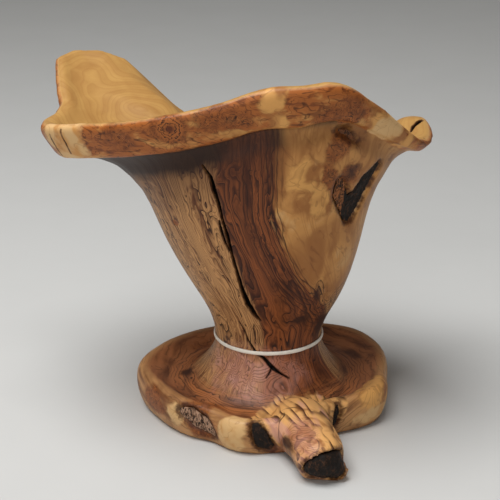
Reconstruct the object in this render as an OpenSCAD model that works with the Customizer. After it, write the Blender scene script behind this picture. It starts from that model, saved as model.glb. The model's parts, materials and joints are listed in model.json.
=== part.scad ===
// Pedestal bowl carved from one piece of olive root: a natural-edge bowl, a narrow waist
// and a dished foot that ends in a root stub. Bark is left in its hollows, and a rubber
// band lies round its waist. Millimetres, +Z up, the waist's axis on Z, the floor at Z = 0.

/* [Foot] */
// Mean radius of the foot's outline
foot_r = 72; // [60:1:86]
// Height of the foot's raised lip
foot_h = 23; // [19:1:28]
// Depth of the hollow in the foot's top, below its lip
foot_dish = 5.5; // [3:0.5:8]
// How far the foot's side rolls in where it meets the floor
foot_undercut = 5; // [3:0.5:8]

/* [Waist] */
// Radius of the waist
waist_r = 30; // [24:0.5:36]
// Height of the waist above the floor
waist_z = 46; // [40:1:56]

/* [Bowl] */
// Mean radius of the bowl's wall, just below its rim
bowl_r = 66; // [56:1:78]
// Mean radius of the rim's outer edge
rim_r = 90; // [84:1:108]
// Mean height of the rim above the floor
rim_z = 180; // [160:1:216]
// Height of the rim's outer face
edge_h = 20; // [16:0.5:24]
// Thickness of the rim across its top
rim_t = 10; // [8:0.5:14]
// Thickness of the bowl's wall
wall_t = 14; // [9:0.5:18]
// Height of the bowl's floor above the table
bowl_floor_z = 112; // [94:1:124]

/* [Root stub] */
// Radius of the stub that the foot ends in
stub_r = 14.5; // [12:0.5:17]
// Distance from the axis to the middle of the stub's end
stub_reach = 93; // [80:1:108]
// Height of the stub, as a share of its width
stub_flat = 0.88; // [0.75:0.01:1]
// Direction of the stub, in degrees from +X
stub_angle = 290; // [284:1:296]

/* [Bark] */
// Depth to which the bark lies below the wood's face
bark_sunk = 1.5; // [0.5:0.25:3]
// Gap between the bark and the hollow that it lies in
bark_gap = 0.05; // [0.02:0.01:0.2]

/* [Rubber band] */
// Width of the band, up the waist
band_w = 2.2; // [1.5:0.1:4]
// Thickness of the band
band_t = 1.1; // [0.8:0.1:2]
// Gap between the band and the wood
band_gap = 0.05; // [0.02:0.01:0.2]

/* [Hidden] */
sides = 68;      // points round each ring of the wood
ring_steps = 2;  // rings between two points of the profile
ball_fn = 14;    // sides of the balls that the stub and the hollows are made of

// The foot's outline: angle, how far it lies outside the mean radius, and how far its lip
// lies above the mean height.
foot_line = [[0, -2, 0], [28, 6, 1], [48, 9, 1], [75, 3, 0], [102, 1, 0], [130, 1, 1], [150, 2, 2],
    [175, 6, 1], [200, -1, 1], [224, -5, 0], [238, -8, -1], [254, -3, -2], [275, -4, -1], [292, -6, 2],
    [310, -13, 0], [323, -8, 0], [338, -1, 1]];

// The rim: angle, how far it lies outside the mean radius, how far above the mean height,
// and how much its outer face and its top are wider than the mean.
rim_line = [
    [5, 2, -15, -9, 6],
    [18, 3, -12, -6, 5],
    [30, -3, -21, -4, 2],
    [50, -7, -27, -4, 0],
    [75, -9, -30, -4, 0],
    [98, -8, -31, -4, 0],
    [112, -4, -29, -4, 0],
    [122, 2, -26, -4, -1],
    [130, 13, -12, -4, -2],
    [139, 31, 11, -3, -2],
    [151, 50, 15, -2, -2],
    [160, 41, 7, -2, -1],
    [171, 30, -4, -1, 0],
    [181, 36, -6, 0, 0],
    [191, 33, -3, 1, 0],
    [201, 19, 2, 1, 0],
    [212, 7, 6, 1, 0],
    [224, -3, 11, 2, 0],
    [235, -12, 15, 2, 0],
    [249, -21, 20, 3, -1],
    [261, -24, 25, 3, -1],
    [272, -24, 28, 4, -1],
    [285, -23, 28, 3, -1],
    [299, -21, 29, 1, 0],
    [309, -20, 25, 0, 0],
    [318, -20, 18, -2, 0],
    [329, -17, 9, -4, 0],
    [339, -13, -1, -6, 2],
    [353, -3, -15, -12, 6]];

// The bowl's wall: share of the way from the waist up to the rim's outer face, share of the way
// from the waist's radius out to the bowl's, and what is added to the right, back, left and front.
wall_line = [
    [0, 0, [0, 0, 0, 0]],
    [0.1, 0.07, [0, 0, 0, -1]],
    [0.2, 0.25, [1, 0, -2, -3]],
    [0.35, 0.5, [-1, -1, 0, -5]],
    [0.55, 0.75, [-5, -1, 2, -8]],
    [0.75, 0.92, [-7, 1, 4, -9]],
    [0.9, 1, [-3, 3, 9, -10]],
    [1, 1.02, [1, 5, 12, -10]]];

function turned(a) = (a % 360 + 360) % 360;
function mix(a, b, share) = a + (b - a) * share;

// A smooth curve through four values at four places, between the middle two.
function through(x, x0, x1, x2, x3, y0, y1, y2, y3) =
    let (w = x2 - x1, t = (x - x1) / w, m1 = w * (y2 - y0) / (x2 - x0), m2 = w * (y3 - y1) / (x3 - x1))
    (2 * t ^ 3 - 3 * t ^ 2 + 1) * y1 + (t ^ 3 - 2 * t ^ 2 + t) * m1
        + (3 * t ^ 2 - 2 * t ^ 3) * y2 + (t ^ 3 - t ^ 2) * m2;

// Column of a table whose first column is an angle, at any angle.
function around(table, column, angle) =
    let (n = len(table), a = turned(angle), below = len([for (row = table) if (row[0] <= a) 1]),
        at = [for (k = [-2:1]) let (i = below + k) [table[(i + n) % n][0] + 360 * floor(i / n),
            table[(i + n) % n][column]]])
    through(a, at[0][0], at[1][0], at[2][0], at[3][0], at[0][1], at[1][1], at[2][1], at[3][1]);

// Values for the right, back, left and front, blended round to an angle.
function quarters(values, angle) =
    let (a = turned(angle) / 90, i = floor(a), t = a - i)
    mix(values[i % 4], values[(i + 1) % 4], t * t * (3 - 2 * t));

// Slow waves that keep the carved wall from looking turned.
function ripple(angle, z) = 0.8 * sin(3 * angle + z) + 0.4 * sin(7 * angle - 1.4 * z + 40);

function foot_radius(a) = foot_r + around(foot_line, 1, a);
function lip_height(a) = foot_h + around(foot_line, 2, a);
function rim_radius(a) = rim_r + around(rim_line, 1, a);
function rim_height(a) = rim_z + around(rim_line, 2, a);
function edge_height(a) = edge_h + around(rim_line, 3, a);
function rim_thickness(a) = rim_t + around(rim_line, 4, a);
function edge_lean(a) = 4 + 5 * max(0, cos(a - 185));
function under_height(a) = rim_height(a) - edge_height(a);

// Radius of the bowl's wall at a share of the way from the waist up to the rim's outer face.
function wall_radius(a, share) =
    let (n = len(wall_line), s = min(max(share, 0), 1),
        i = min(len([for (row = wall_line) if (row[0] <= s) 1]), n - 1) - 1,
        at = [for (k = [-1:2]) let (row = wall_line[min(max(i + k, 0), n - 1)])
            [row[0] + (i + k < 0 ? -0.1 : i + k >= n ? 0.1 : 0),
                mix(waist_r, bowl_r, row[1]) + quarters(row[2], a)]])
    through(s, at[0][0], at[1][0], at[2][0], at[3][0], at[0][1], at[1][1], at[2][1], at[3][1]);

function wall_share(a, z) = (z - waist_z) / (under_height(a) - waist_z);
function wall_z(a, share) = mix(waist_z, under_height(a), share);

// The foot's side and top, from the floor to where the waist begins, as points [radius, height].
function foot_points(a) =
    let (foot = foot_radius(a), lip_z = lip_height(a), dish_z = foot_h - foot_dish, flare_r = waist_r + 17)
    [[foot - foot_undercut, 0], [foot - foot_undercut * 0.6, 2], [foot, lip_z * 0.45], [foot, lip_z - 4],
        [foot - 2, lip_z - 0.5], [foot - 6, lip_z + 0.5], [foot - 11, lip_z - 2],
        [mix(foot, flare_r, 0.65), dish_z], [flare_r, dish_z + 1], [waist_r + 7, mix(dish_z, waist_z, 0.4)],
        [waist_r + 1, mix(dish_z, waist_z, 0.75)]];

// The wall from the waist up, under the rim and up the rim's outer face.
function wall_points(a) =
    let (rim = rim_radius(a), top = rim_height(a), under = under_height(a), lean = edge_lean(a))
    concat(
        [for (row = wall_line) let (share = row[0]) if (share < 0.95)
            [wall_radius(a, share) + ripple(a, wall_z(a, share)) * share, wall_z(a, share)]],
        [[mix(wall_radius(a, 1), rim - lean, 0.5), under - 0.5], [rim - lean - 1.5, under],
            [rim - lean + 1, under + 3], [rim - 0.4 * lean + 0.5, mix(under, top, 0.5)],
            [rim + 0.5, top - 4], [rim - 0.5, top - 0.5]]);

// The inside, from the edge of the rim down to the middle of the bowl's floor.
function inner_points(a) =
    let (rim = rim_radius(a) - rim_thickness(a), top = rim_height(a), wall_top = wall_z(a, 0.9),
        throat = wall_radius(a, 0.9) - wall_t)
    concat(
        [[mix(rim, rim_radius(a), 0.5), top + 1], [rim + 0.5, top - 1], [rim - 3, top - 5],
            [mix(rim, throat, 0.5), mix(top, wall_top, 0.55)], [throat + 2, wall_top + 3]],
        [for (up = [0.7, 0.35, 0.1]) let (z = mix(bowl_floor_z, wall_top, up))
            [wall_radius(a, wall_share(a, z)) - wall_t - 5 * (1 - up) ^ 3, z]],
        [[mix(waist_r, bowl_r, 0.6) * 0.55, bowl_floor_z + 0.6], [9, bowl_floor_z], [0, bowl_floor_z]]);

// A smooth line led by points: it starts at the first, ends at the last and rounds the others off.
function led(points) =
    let (n = len(points), p = concat([points[0], points[0]], points, [points[n - 1], points[n - 1]]))
    [for (i = [0:len(p) - 4], k = [0:ring_steps - 1]) let (u = k / ring_steps)
        ((1 - u) ^ 3 * p[i] + (3 * u ^ 3 - 6 * u ^ 2 + 4) * p[i + 1]
            + (-3 * u ^ 3 + 3 * u ^ 2 + 3 * u + 1) * p[i + 2] + u ^ 3 * p[i + 3]) / 6];

function at_angle(a, radius, z) = [radius * cos(a), radius * sin(a), z];

// Radius of the finished surface at an angle and a height: the foot's side, or the wall.
function foot_face(a, z) =
    lookup(z, [for (p = led(foot_points(a))) if (p[0] > foot_radius(a) - foot_undercut - 1) [p[1], p[0]]]);
function wall_face(a, z) =
    lookup(z, [for (p = led(concat(foot_points(a), wall_points(a)))) if (p[1] > foot_h + 3) [p[1], p[0]]]);

// The wood without its stub, its outside lying inside the real one by a distance.
module root_body(inside = 0) {
    angles = [for (i = [0:sides - 1]) 360 * i / sides];
    columns = [for (a = angles)
        let (outer = [for (p = concat(foot_points(a), wall_points(a))) [p[0] - inside, p[1]]])
        [for (p = led(concat(outer, inner_points(a)))) at_angle(a, p[0], p[1])]];
    rings = len(columns[0]);
    points = concat([for (j = [0:rings - 1], i = [0:sides - 1]) columns[i][j]],
        [[0, 0, bowl_floor_z]]);
    top_ring = (rings - 1) * sides;
    polyhedron(points, concat(
        [[for (i = [0:sides - 1]) i]],
        [for (j = [0:rings - 2], i = [0:sides - 1]) let (k = (i + 1) % sides, low = j * sides)
            [low + i, low + sides + i, low + sides + k, low + k]],
        [for (i = [0:sides - 1]) [top_ring + i, rings * sides, top_ring + (i + 1) % sides]]));
}

// Balls, each [centre, radius], joined by hulls one to the next, each ball smaller by a gap.
module chain(balls, gap = 0) {
    for (i = [0:len(balls) - 2])
        hull() for (b = [balls[i], balls[i + 1]])
            translate(b[0]) sphere(b[1] - gap, $fn = ball_fn);
}

// The stub's balls, from inside the foot out to its end: share of the reach, share of the
// radius, and how far the ball lies to one side. Each one rests on the floor.
stub_line = [[0.4, 0.75, 5], [0.5, 0.95, 0], [0.6, 1.12, -2], [0.7, 1.15, -4], [0.79, 1.08, -4],
    [0.87, 1.03, -4], [0.94, 1.02, -5], [1, 0.96, -6], [1.06, 0.46, 2], [0.99, 0.44, -11]];
stub_balls = [for (row = stub_line) let (r = stub_r * row[1])
    [at_angle(stub_angle, stub_reach * row[0], r) + at_angle(stub_angle + 90, row[2], 0), r]];

module stub(inside = 0) {
    scale([1, 1, stub_flat]) chain(stub_balls, inside);
}

// The hollows that hold bark, as chains of balls. On the wall and on the foot each ball is
// [angle, share of the wall's or the foot's height, radius, how far its middle lies outside].
function on_wall(rows) = [for (r = rows) let (z = wall_z(r[0], r[1]))
    [at_angle(r[0], wall_face(r[0], z) + r[3], z), r[2]]];
function on_foot(rows) = [for (r = rows) let (z = foot_h * r[1])
    [at_angle(r[0], foot_face(r[0], z) + r[3], z), r[2]]];

wall_hollow = on_wall([[338, 0.9, 3, 0], [334, 0.81, 6, -1], [329, 0.72, 7, -1], [325, 0.63, 5, 0],
    [320, 0.66, 5, 1], [315, 0.71, 6, 1], [313, 0.76, 4, 1]]);
rim_hollow = on_wall([[305, 0.96, 2, 0], [310, 0.96, 3, 0], [315, 0.95, 2.5, 0], [319, 0.94, 1.5, 0]]);
seam_hollow = on_foot([[263, 0.85, 3, 0], [265, 0.6, 5, -0.5], [267, 0.35, 5.5, -0.5], [270, 0.22, 4, 0]]);
scar_hollow = on_foot([[222, 0.74, 4, 1], [228, 0.7, 7, 2], [234, 0.52, 7, 2], [239, 0.3, 4, 1]]);
notch_hollow = on_foot([[312, 0.87, 2, 0], [311, 0.6, 3, -0.5], [310, 0.35, 2.5, -0.5]]);

// On the stub's end each ball is [how far to one side, how far past the reach, height, radius],
// as shares of the stub's radius.
end_hollow = [for (row = [[-0.8, 0.55, 0.65, 0.48], [-0.5, 0.65, 0.74, 0.6], [-0.1, 0.65, 0.74, 0.6],
    [0.2, 0.5, 0.8, 0.45]]) let (s = stub_r * row)
    [at_angle(stub_angle, stub_reach + s[1], s[2]) + at_angle(stub_angle + 90, s[0], 0), s[3]]];

hollows = [wall_hollow, rim_hollow, seam_hollow, scar_hollow, notch_hollow, end_hollow];

module bark(hollow) {
    color("#2b1c14") intersection() {
        union() {
            root_body(bark_sunk);
            stub(bark_sunk);
        }
        chain(hollow, bark_gap);
    }
}

module carved_root() {
    color("#a8713f") difference() {
        union() {
            root_body();
            stub();
        }
        for (hollow = hollows) chain(hollow);
    }
}

// A strip of the wall's own outline, moved out by the gap, so it fits whatever the waist is.
module waist_band() {
    angles = [for (i = [0:sides - 1]) 360 * i / sides];
    section = [[0, 0], [band_t * 0.7, 0], [band_t, band_w * 0.25], [band_t, band_w * 0.75],
        [band_t * 0.7, band_w], [0, band_w]];
    n = len(section);
    points = [for (a = angles, s = section) let (z = waist_z - band_w / 2 + s[1])
        at_angle(a, wall_face(a, z) + band_gap + s[0], z)];
    color("#f2efe9") polyhedron(points, [for (i = [0:sides - 1], j = [0:n - 1])
        let (here = i * n, next = (i + 1) % sides * n, k = (j + 1) % n)
        [here + j, here + k, next + k, next + j]]);
}

carved_root();
waist_band();
bark(wall_hollow);  // wall_bark
bark(rim_hollow);  // rim_bark
bark(seam_hollow);  // foot_seam_bark
bark(scar_hollow);  // foot_scar_bark
bark(notch_hollow);  // notch_bark
bark(end_hollow);  // stub_end_bark
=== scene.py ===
"""A pedestal bowl carved from one olive root, with a rubber band round its waist.

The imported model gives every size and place. This script carves the wood's surface finely,
works out how the grain runs over it, and dresses the wood, the bark and the band.
Lengths in the tables of marks are millimetres and angles are degrees; meshes are in metres.
"""

import json
import logging
import math
from dataclasses import dataclass
from enum import Enum

import bpy
import numpy as np
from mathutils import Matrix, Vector, noise
from mathutils.bvhtree import BVHTree
from mathutils.kdtree import KDTree

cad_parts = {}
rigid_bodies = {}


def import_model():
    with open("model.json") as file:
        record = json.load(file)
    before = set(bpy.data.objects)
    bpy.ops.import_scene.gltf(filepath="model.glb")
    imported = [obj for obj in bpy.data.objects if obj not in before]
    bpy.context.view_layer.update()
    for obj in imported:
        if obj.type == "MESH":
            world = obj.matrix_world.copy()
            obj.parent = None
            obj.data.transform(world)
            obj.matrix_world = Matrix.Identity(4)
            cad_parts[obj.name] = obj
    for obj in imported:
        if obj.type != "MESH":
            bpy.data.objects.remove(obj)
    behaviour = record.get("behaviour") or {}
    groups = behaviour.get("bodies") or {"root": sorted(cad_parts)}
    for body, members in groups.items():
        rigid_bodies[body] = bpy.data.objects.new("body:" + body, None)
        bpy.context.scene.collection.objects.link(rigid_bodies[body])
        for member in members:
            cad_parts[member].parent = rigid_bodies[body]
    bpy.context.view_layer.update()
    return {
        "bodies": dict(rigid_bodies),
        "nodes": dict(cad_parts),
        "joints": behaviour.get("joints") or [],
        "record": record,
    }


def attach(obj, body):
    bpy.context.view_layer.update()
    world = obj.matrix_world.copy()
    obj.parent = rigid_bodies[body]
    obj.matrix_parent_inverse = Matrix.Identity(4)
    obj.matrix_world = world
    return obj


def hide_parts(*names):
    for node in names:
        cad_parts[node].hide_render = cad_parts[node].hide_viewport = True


log = logging.getLogger("olive_bowl")

MM = 0.001
Colour = tuple[float, float, float]


# ---------------------------------------------------------------- mesh helpers


def deselect_all() -> None:
    """Leaves nothing selected, in object mode."""
    if bpy.context.mode != "OBJECT":
        bpy.ops.object.mode_set(mode="OBJECT")
    bpy.ops.object.select_all(action="DESELECT")


def work_on(piece: bpy.types.Object) -> None:
    """Selects one piece alone and makes it the active one.

    Args:
        piece: the object that the next operators act on.
    """
    deselect_all()
    piece.select_set(True)
    bpy.context.view_layer.objects.active = piece


def copy_of_node(node: bpy.types.Object, name: str) -> bpy.types.Object:
    """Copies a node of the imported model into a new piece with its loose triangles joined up.

    Args:
        node: the model's own object, which stays as it is.
        name: name of the new piece.

    Returns:
        The new object, at the origin, with a mesh of its own.
    """
    piece = bpy.data.objects.new(name, node.data.copy())
    bpy.context.scene.collection.objects.link(piece)
    piece.data.materials.clear()
    work_on(piece)
    bpy.ops.object.mode_set(mode="EDIT")
    bpy.ops.mesh.select_all(action="SELECT")
    bpy.ops.mesh.remove_doubles(threshold=0.002 * MM)
    bpy.ops.mesh.normals_make_consistent(inside=False)
    bpy.ops.object.mode_set(mode="OBJECT")
    return piece


def apply_modifier(piece: bpy.types.Object, kind: str, **settings: object) -> None:
    """Adds a modifier, sets it and applies it.

    Args:
        piece: the object it goes on.
        kind: the modifier's type.
        settings: its properties by name.
    """
    work_on(piece)
    modifier = piece.modifiers.new(kind.lower(), kind)
    for key, value in settings.items():
        setattr(modifier, key, value)
    bpy.ops.object.modifier_apply(modifier=modifier.name)


def points_of(piece: bpy.types.Object) -> np.ndarray:
    """Reads the mesh's points.

    Args:
        piece: the object.

    Returns:
        Places in millimetres, one row each.
    """
    points = np.empty(len(piece.data.vertices) * 3, np.float32)
    piece.data.vertices.foreach_get("co", points)
    return points.reshape(-1, 3).astype(float) / MM


def normals_of(piece: bpy.types.Object) -> np.ndarray:
    """Reads the mesh's point normals.

    Args:
        piece: the object.

    Returns:
        Directions of length 1, one row each.
    """
    normals = np.empty(len(piece.data.vertices) * 3, np.float32)
    piece.data.vertices.foreach_get("normal", normals)
    return normals.reshape(-1, 3).astype(float)


def move_points(piece: bpy.types.Object, points: np.ndarray) -> None:
    """Moves all the mesh's points.

    Args:
        piece: the object.
        points: the new places in millimetres, one row each.
    """
    piece.data.vertices.foreach_set("co", (points * MM).astype(np.float32).ravel())
    piece.data.update()


def store(piece: bpy.types.Object, name: str, values: np.ndarray) -> None:
    """Keeps one value, or one vector, per point in a named attribute.

    Args:
        piece: the object whose mesh gets the attribute.
        name: the attribute's name, which the finish reads.
        values: one row per point.
    """
    vector = values.ndim == 2
    kind = "FLOAT_VECTOR" if vector else "FLOAT"
    attribute = piece.data.attributes.new(name, kind, "POINT")
    attribute.data.foreach_set("vector" if vector else "value", values.astype(np.float32).ravel())


def refine_near(piece: bpy.types.Object, places: list[Vector], reach: float) -> None:
    """Halves the edges of the faces that lie near some places.

    Args:
        piece: the object to refine.
        places: points on its surface, in millimetres.
        reach: how far from them the finer mesh goes, in millimetres.
    """
    tree = tree_of(places)
    near = [tree.find(face.center / MM)[2] < reach for face in piece.data.polygons]
    work_on(piece)
    bpy.ops.object.mode_set(mode="EDIT")
    bpy.ops.mesh.select_mode(type="FACE")
    bpy.ops.mesh.select_all(action="DESELECT")
    bpy.ops.object.mode_set(mode="OBJECT")
    piece.data.polygons.foreach_set("select", near)
    bpy.ops.object.mode_set(mode="EDIT")
    bpy.ops.mesh.subdivide(number_cuts=1)
    bpy.ops.object.mode_set(mode="OBJECT")


def tree_of(places: list[Vector]) -> KDTree:
    """Sorts some places for a quick search.

    Args:
        places: the places, in millimetres.

    Returns:
        The search tree.
    """
    tree = KDTree(len(places))
    for index, place in enumerate(places):
        tree.insert(place, index)
    tree.balance()
    return tree


def smooth_step(low: float, high: float, value: np.ndarray) -> np.ndarray:
    """Rises softly from 0 at low to 1 at high, or falls where low is the larger."""
    share = np.clip((value - low) / (high - low), 0.0, 1.0)
    return share * share * (3.0 - 2.0 * share)


def lumps(points: np.ndarray, size: float, seed: float) -> np.ndarray:
    """Soft random lumps over a set of points, from about -1 to 1.

    Args:
        points: places in millimetres.
        size: distance between lumps, in millimetres.
        seed: shifts the pattern to another part of it.

    Returns:
        One value per point.
    """
    offset = Vector((seed, -seed, 0.5 * seed))
    return np.array([noise.noise(Vector(point / size) + offset) for point in points])


# ---------------------------------------------------------------- marks in the wood


class Zone(Enum):
    """The patches of colour in the wood; each value names the attribute that holds the patch."""

    CREAM = "cream"
    BURL = "burl"
    DARK = "dark"
    PLUM = "plum"
    GOLD = "gold"
    HONEY = "honey"


class Reach(Enum):
    """How a mark is placed: by height below the rim, by height on the rim, or from the top."""

    WALL = "wall"
    RIM = "rim"
    TOP = "top"


@dataclass(frozen=True)
class Blotch:
    """A patch of colour: its angle, its height (or its radius where found from the top),
    and how far it reaches round the piece and up or outwards."""

    zone: Zone
    angle: float
    place: float
    wide: float
    tall: float
    reach: Reach = Reach.WALL


@dataclass(frozen=True)
class Knot:
    """A round knot: its angle, its height and its radius."""

    angle: float
    height: float
    size: float


@dataclass(frozen=True)
class Split:
    """An open crack: its line of (angle, height or radius, width) and how deep it goes."""

    line: tuple[tuple[float, float, float], ...]
    depth: float
    reach: Reach = Reach.WALL


SPLITS = (
    Split(((236, 163, 0.7), (239, 157, 1.6), (240, 149, 2.1), (241.5, 141, 1.4), (242.6, 131, 0.9),
        (244, 123, 1.5), (245.5, 110, 1.0), (247, 100, 1.2), (249, 88, 1.8), (252, 78, 3.0),
        (257, 71, 2.0), (262, 67, 0.4)), 5.0),
    Split(((240.6, 131, 0.5), (240.9, 125, 1.2), (242.2, 118, 0.9), (244.2, 112, 0.4)), 2.5),
    Split(((240.5, 65, 0.2), (243.5, 61, 0.4), (247.6, 53, 0.6), (256, 46, 0.9), (264.6, 43, 1.3),
        (273, 38, 1.9), (280.5, 35, 0.9), (289, 32, 0.3)), 2.4),
    Split(((273, 38, 0.8), (270, 35, 0.6), (267, 32.5, 0.2)), 1.2),
    Split(((196.1, 177, 0.1), (195.9, 169, 0.5), (195, 162, 0.1)), 0.9),
    Split(((191.9, 172, 0.1), (191.4, 165, 0.3), (191, 159, 0.1)), 0.6),
    Split(((5, 79, 0.6), (8.5, 81.5, 1.8), (11.5, 86, 2.0), (13, 89, 0.8)), 2.4, Reach.TOP),
)

KNOTS = (
    Knot(230, 185.5, 7.5),
    Knot(211.3, 124, 2.2),
    Knot(213, 178, 3.2),
    Knot(307, 187, 4.6),
    Knot(341, 172, 1.2),
    Knot(60, 150, 6.0),
    Knot(120, 95, 5.0),
)

BLOTCHES = (
    Blotch(Zone.CREAM, 252, 11, 10, 19),
    Blotch(Zone.CREAM, 218, 12, 7, 8),
    Blotch(Zone.CREAM, 333, 8, 15, 6),
    Blotch(Zone.CREAM, 90, 12, 26, 9),
    Blotch(Zone.CREAM, 196, 170, 15, 30, Reach.RIM),
    Blotch(Zone.CREAM, 331, 178, 13, 9, Reach.RIM),
    Blotch(Zone.CREAM, 5, 166, 6, 7, Reach.RIM),
    Blotch(Zone.BURL, 353, 163, 4, 6, Reach.RIM),
    Blotch(Zone.DARK, 357, 164, 1.3, 5, Reach.RIM),
    Blotch(Zone.HONEY, 291, 155, 10, 13),
    Blotch(Zone.HONEY, 301, 143, 8, 10),
    Blotch(Zone.HONEY, 270, 201, 9, 10, Reach.RIM),
    Blotch(Zone.HONEY, 274, 190, 5, 9, Reach.RIM),
    Blotch(Zone.HONEY, 268, 183, 24, 4, Reach.RIM),
    Blotch(Zone.HONEY, 325, 184, 14, 26, Reach.RIM),
    Blotch(Zone.HONEY, 338, 172, 16, 26, Reach.RIM),
    Blotch(Zone.BURL, 212, 178, 11, 10, Reach.RIM),
    Blotch(Zone.BURL, 230, 185, 12, 12, Reach.RIM),
    Blotch(Zone.BURL, 250, 190, 20, 9, Reach.RIM),
    Blotch(Zone.BURL, 303, 190, 17, 9, Reach.RIM),
    Blotch(Zone.BURL, 308, 187, 13, 16, Reach.RIM),
    Blotch(Zone.BURL, 303, 150, 12, 18),
    Blotch(Zone.BURL, 307, 170, 10, 12),
    Blotch(Zone.BURL, 318, 154, 9, 10),
    Blotch(Zone.BURL, 346, 16, 9, 8),
    Blotch(Zone.HONEY, 342, 20, 14, 8),
    Blotch(Zone.BURL, 233, 13, 15, 13),
    Blotch(Zone.BURL, 200, 14, 14, 9),
    Blotch(Zone.BURL, 60, 150, 26, 12, Reach.RIM),
    Blotch(Zone.BURL, 140, 14, 24, 10),
    Blotch(Zone.DARK, 331, 57, 12, 10),
    Blotch(Zone.DARK, 311, 81, 3.5, 9),
    Blotch(Zone.DARK, 300, 66, 12, 5),
    Blotch(Zone.DARK, 232, 12, 4, 5),
    Blotch(Zone.DARK, 180, 47, 9, 7, Reach.TOP),
    Blotch(Zone.DARK, 254.3, 192, 0.9, 3.0, Reach.RIM),
    Blotch(Zone.DARK, 252.5, 190.4, 0.8, 2.6, Reach.RIM),
    Blotch(Zone.DARK, 250.5, 191, 0.8, 2.0, Reach.RIM),
    Blotch(Zone.DARK, 286, 192, 0.9, 2.4, Reach.RIM),
    Blotch(Zone.DARK, 288, 190.4, 0.8, 2.2, Reach.RIM),
    Blotch(Zone.DARK, 284, 188.5, 0.9, 2.6, Reach.RIM),
    Blotch(Zone.DARK, 318, 143, 5, 13),
    Blotch(Zone.DARK, 319, 156, 7, 10),
    Blotch(Zone.DARK, 283, 104, 6, 7, Reach.TOP),
    Blotch(Zone.PLUM, 250, 35, 28, 13),
    Blotch(Zone.PLUM, 281, 92, 9, 20, Reach.TOP),
    Blotch(Zone.DARK, 297, 101, 4, 12, Reach.TOP),
    Blotch(Zone.DARK, 277, 82, 4, 15, Reach.TOP),
    Blotch(Zone.DARK, 288, 114, 13, 6, Reach.TOP),
    Blotch(Zone.GOLD, 281, 60, 24, 19, Reach.TOP),
    Blotch(Zone.GOLD, 304, 58, 15, 17, Reach.TOP),
    Blotch(Zone.GOLD, 290, 92, 24, 42, Reach.TOP),
    Blotch(Zone.HONEY, 333, 66, 15, 13, Reach.TOP),
)

# A distance too great to matter, and a height well below the rim, in millimetres.
FAR_OFF = 99.0
FAR_BELOW = -60.0

# Height of the rim's outer face, from its top down to its lower edge, by angle.
EDGE_HEIGHT = ((5, 11), (30, 16), (98, 16), (150, 18), (191, 21), (235, 22), (285, 23), (309, 20),
    (329, 16), (339, 14), (353, 9))

# Edge of the golden sapwood on the wall: (angle, height), upwards on the left first.
GOLDEN_EDGE = ((272, 190), (272, 173), (272.5, 156), (273, 137), (277, 123), (282, 110), (292, 95),
    (302, 87), (308, 84), (311, 90), (316, 84), (319, 75), (327, 73), (334, 78), (345, 83), (360, 92),
    (375, 118), (392, 150), (398, 190))

# Millimetres along the golden edge for each degree round the stem.
GOLDEN_STEP = 0.85

# Unbent angles between which the heartwood lies, and millimetres for each degree there.
HEARTWOOD = (241, 279)
HEARTWOOD_STEP = 0.785

# Heights at which the bend of the grain is full and at which it has gone.
BEND_HEIGHTS = (60, 140)

# How far the grain has slipped round, in degrees, at each unbent angle, where the bend is full.
GRAIN_BEND = ((0, 4), (30, 0), (120, 0), (170, 2), (197, 5), (211, 13), (243, 14), (255, 28), (264, 38),
    (272, 40), (300, 30), (330, 19), (360, 4))


class Skin:
    """A finished surface, on which marks are placed by angle and height.

    FAR is where the search from outside starts. The search from the top starts at ABOVE_BOWL,
    or at UNDER_BOWL for a place nearer than FOOT_REACH in the FOOT_FRONT angles, where the
    bowl hangs over the foot. STEP is the distance between a crack's points.
    """

    STEP = 0.5
    FAR = 300.0
    ABOVE_BOWL = 260.0
    UNDER_BOWL = 62.0
    FOOT_REACH = 100.0
    FOOT_FRONT = (170.0, 345.0)

    def __init__(self, piece: bpy.types.Object) -> None:
        """Reads the surface.

        Args:
            piece: the object whose surface it is.
        """
        faces = [tuple(face.vertices) for face in piece.data.polygons]
        self.tree = BVHTree.FromPolygons([Vector(point) for point in points_of(piece)], faces)

    def spot(self, angle: float, place: float, reach: Reach) -> Vector:
        """Finds the surface at an angle and a height, or at an angle and a radius from above.

        Args:
            angle: degrees round the stem.
            place: height, or radius where the place is found from above.
            reach: the side it is found from.

        Returns:
            The point in millimetres.
        """
        turn = math.radians(angle)
        out = Vector((math.cos(turn), math.sin(turn), 0.0))
        if reach is not Reach.TOP:
            start, way = out * self.FAR + Vector((0, 0, place)), -out
        else:
            first, last = self.FOOT_FRONT
            on_foot = place < self.FOOT_REACH and first < angle % 360 < last
            top = self.UNDER_BOWL if on_foot else self.ABOVE_BOWL
            start, way = out * place + Vector((0, 0, top)), Vector((0, 0, -1))
        hit = self.tree.ray_cast(start, way)[0]
        far_side = hit is None or hit.dot(out) < 0.0
        return start if far_side else hit

    def trail(self, split: Split) -> tuple[list[Vector], list[float]]:
        """Follows a crack over the surface.

        Args:
            split: the crack.

        Returns:
            Points along it and the crack's half width at each.
        """
        spots, halves = [], []
        for start, end in zip(split.line, split.line[1:]):
            gap = (self.spot(*start[:2], split.reach) - self.spot(*end[:2], split.reach)).length
            count = max(2, round(gap / self.STEP))
            for step in range(count):
                share = step / count
                angle, place, width = (a + (b - a) * share for a, b in zip(start, end))
                spots.append(self.spot(angle, place, split.reach))
                halves.append(0.5 * width)
        return spots, halves


# ---------------------------------------------------------------- shader words


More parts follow.
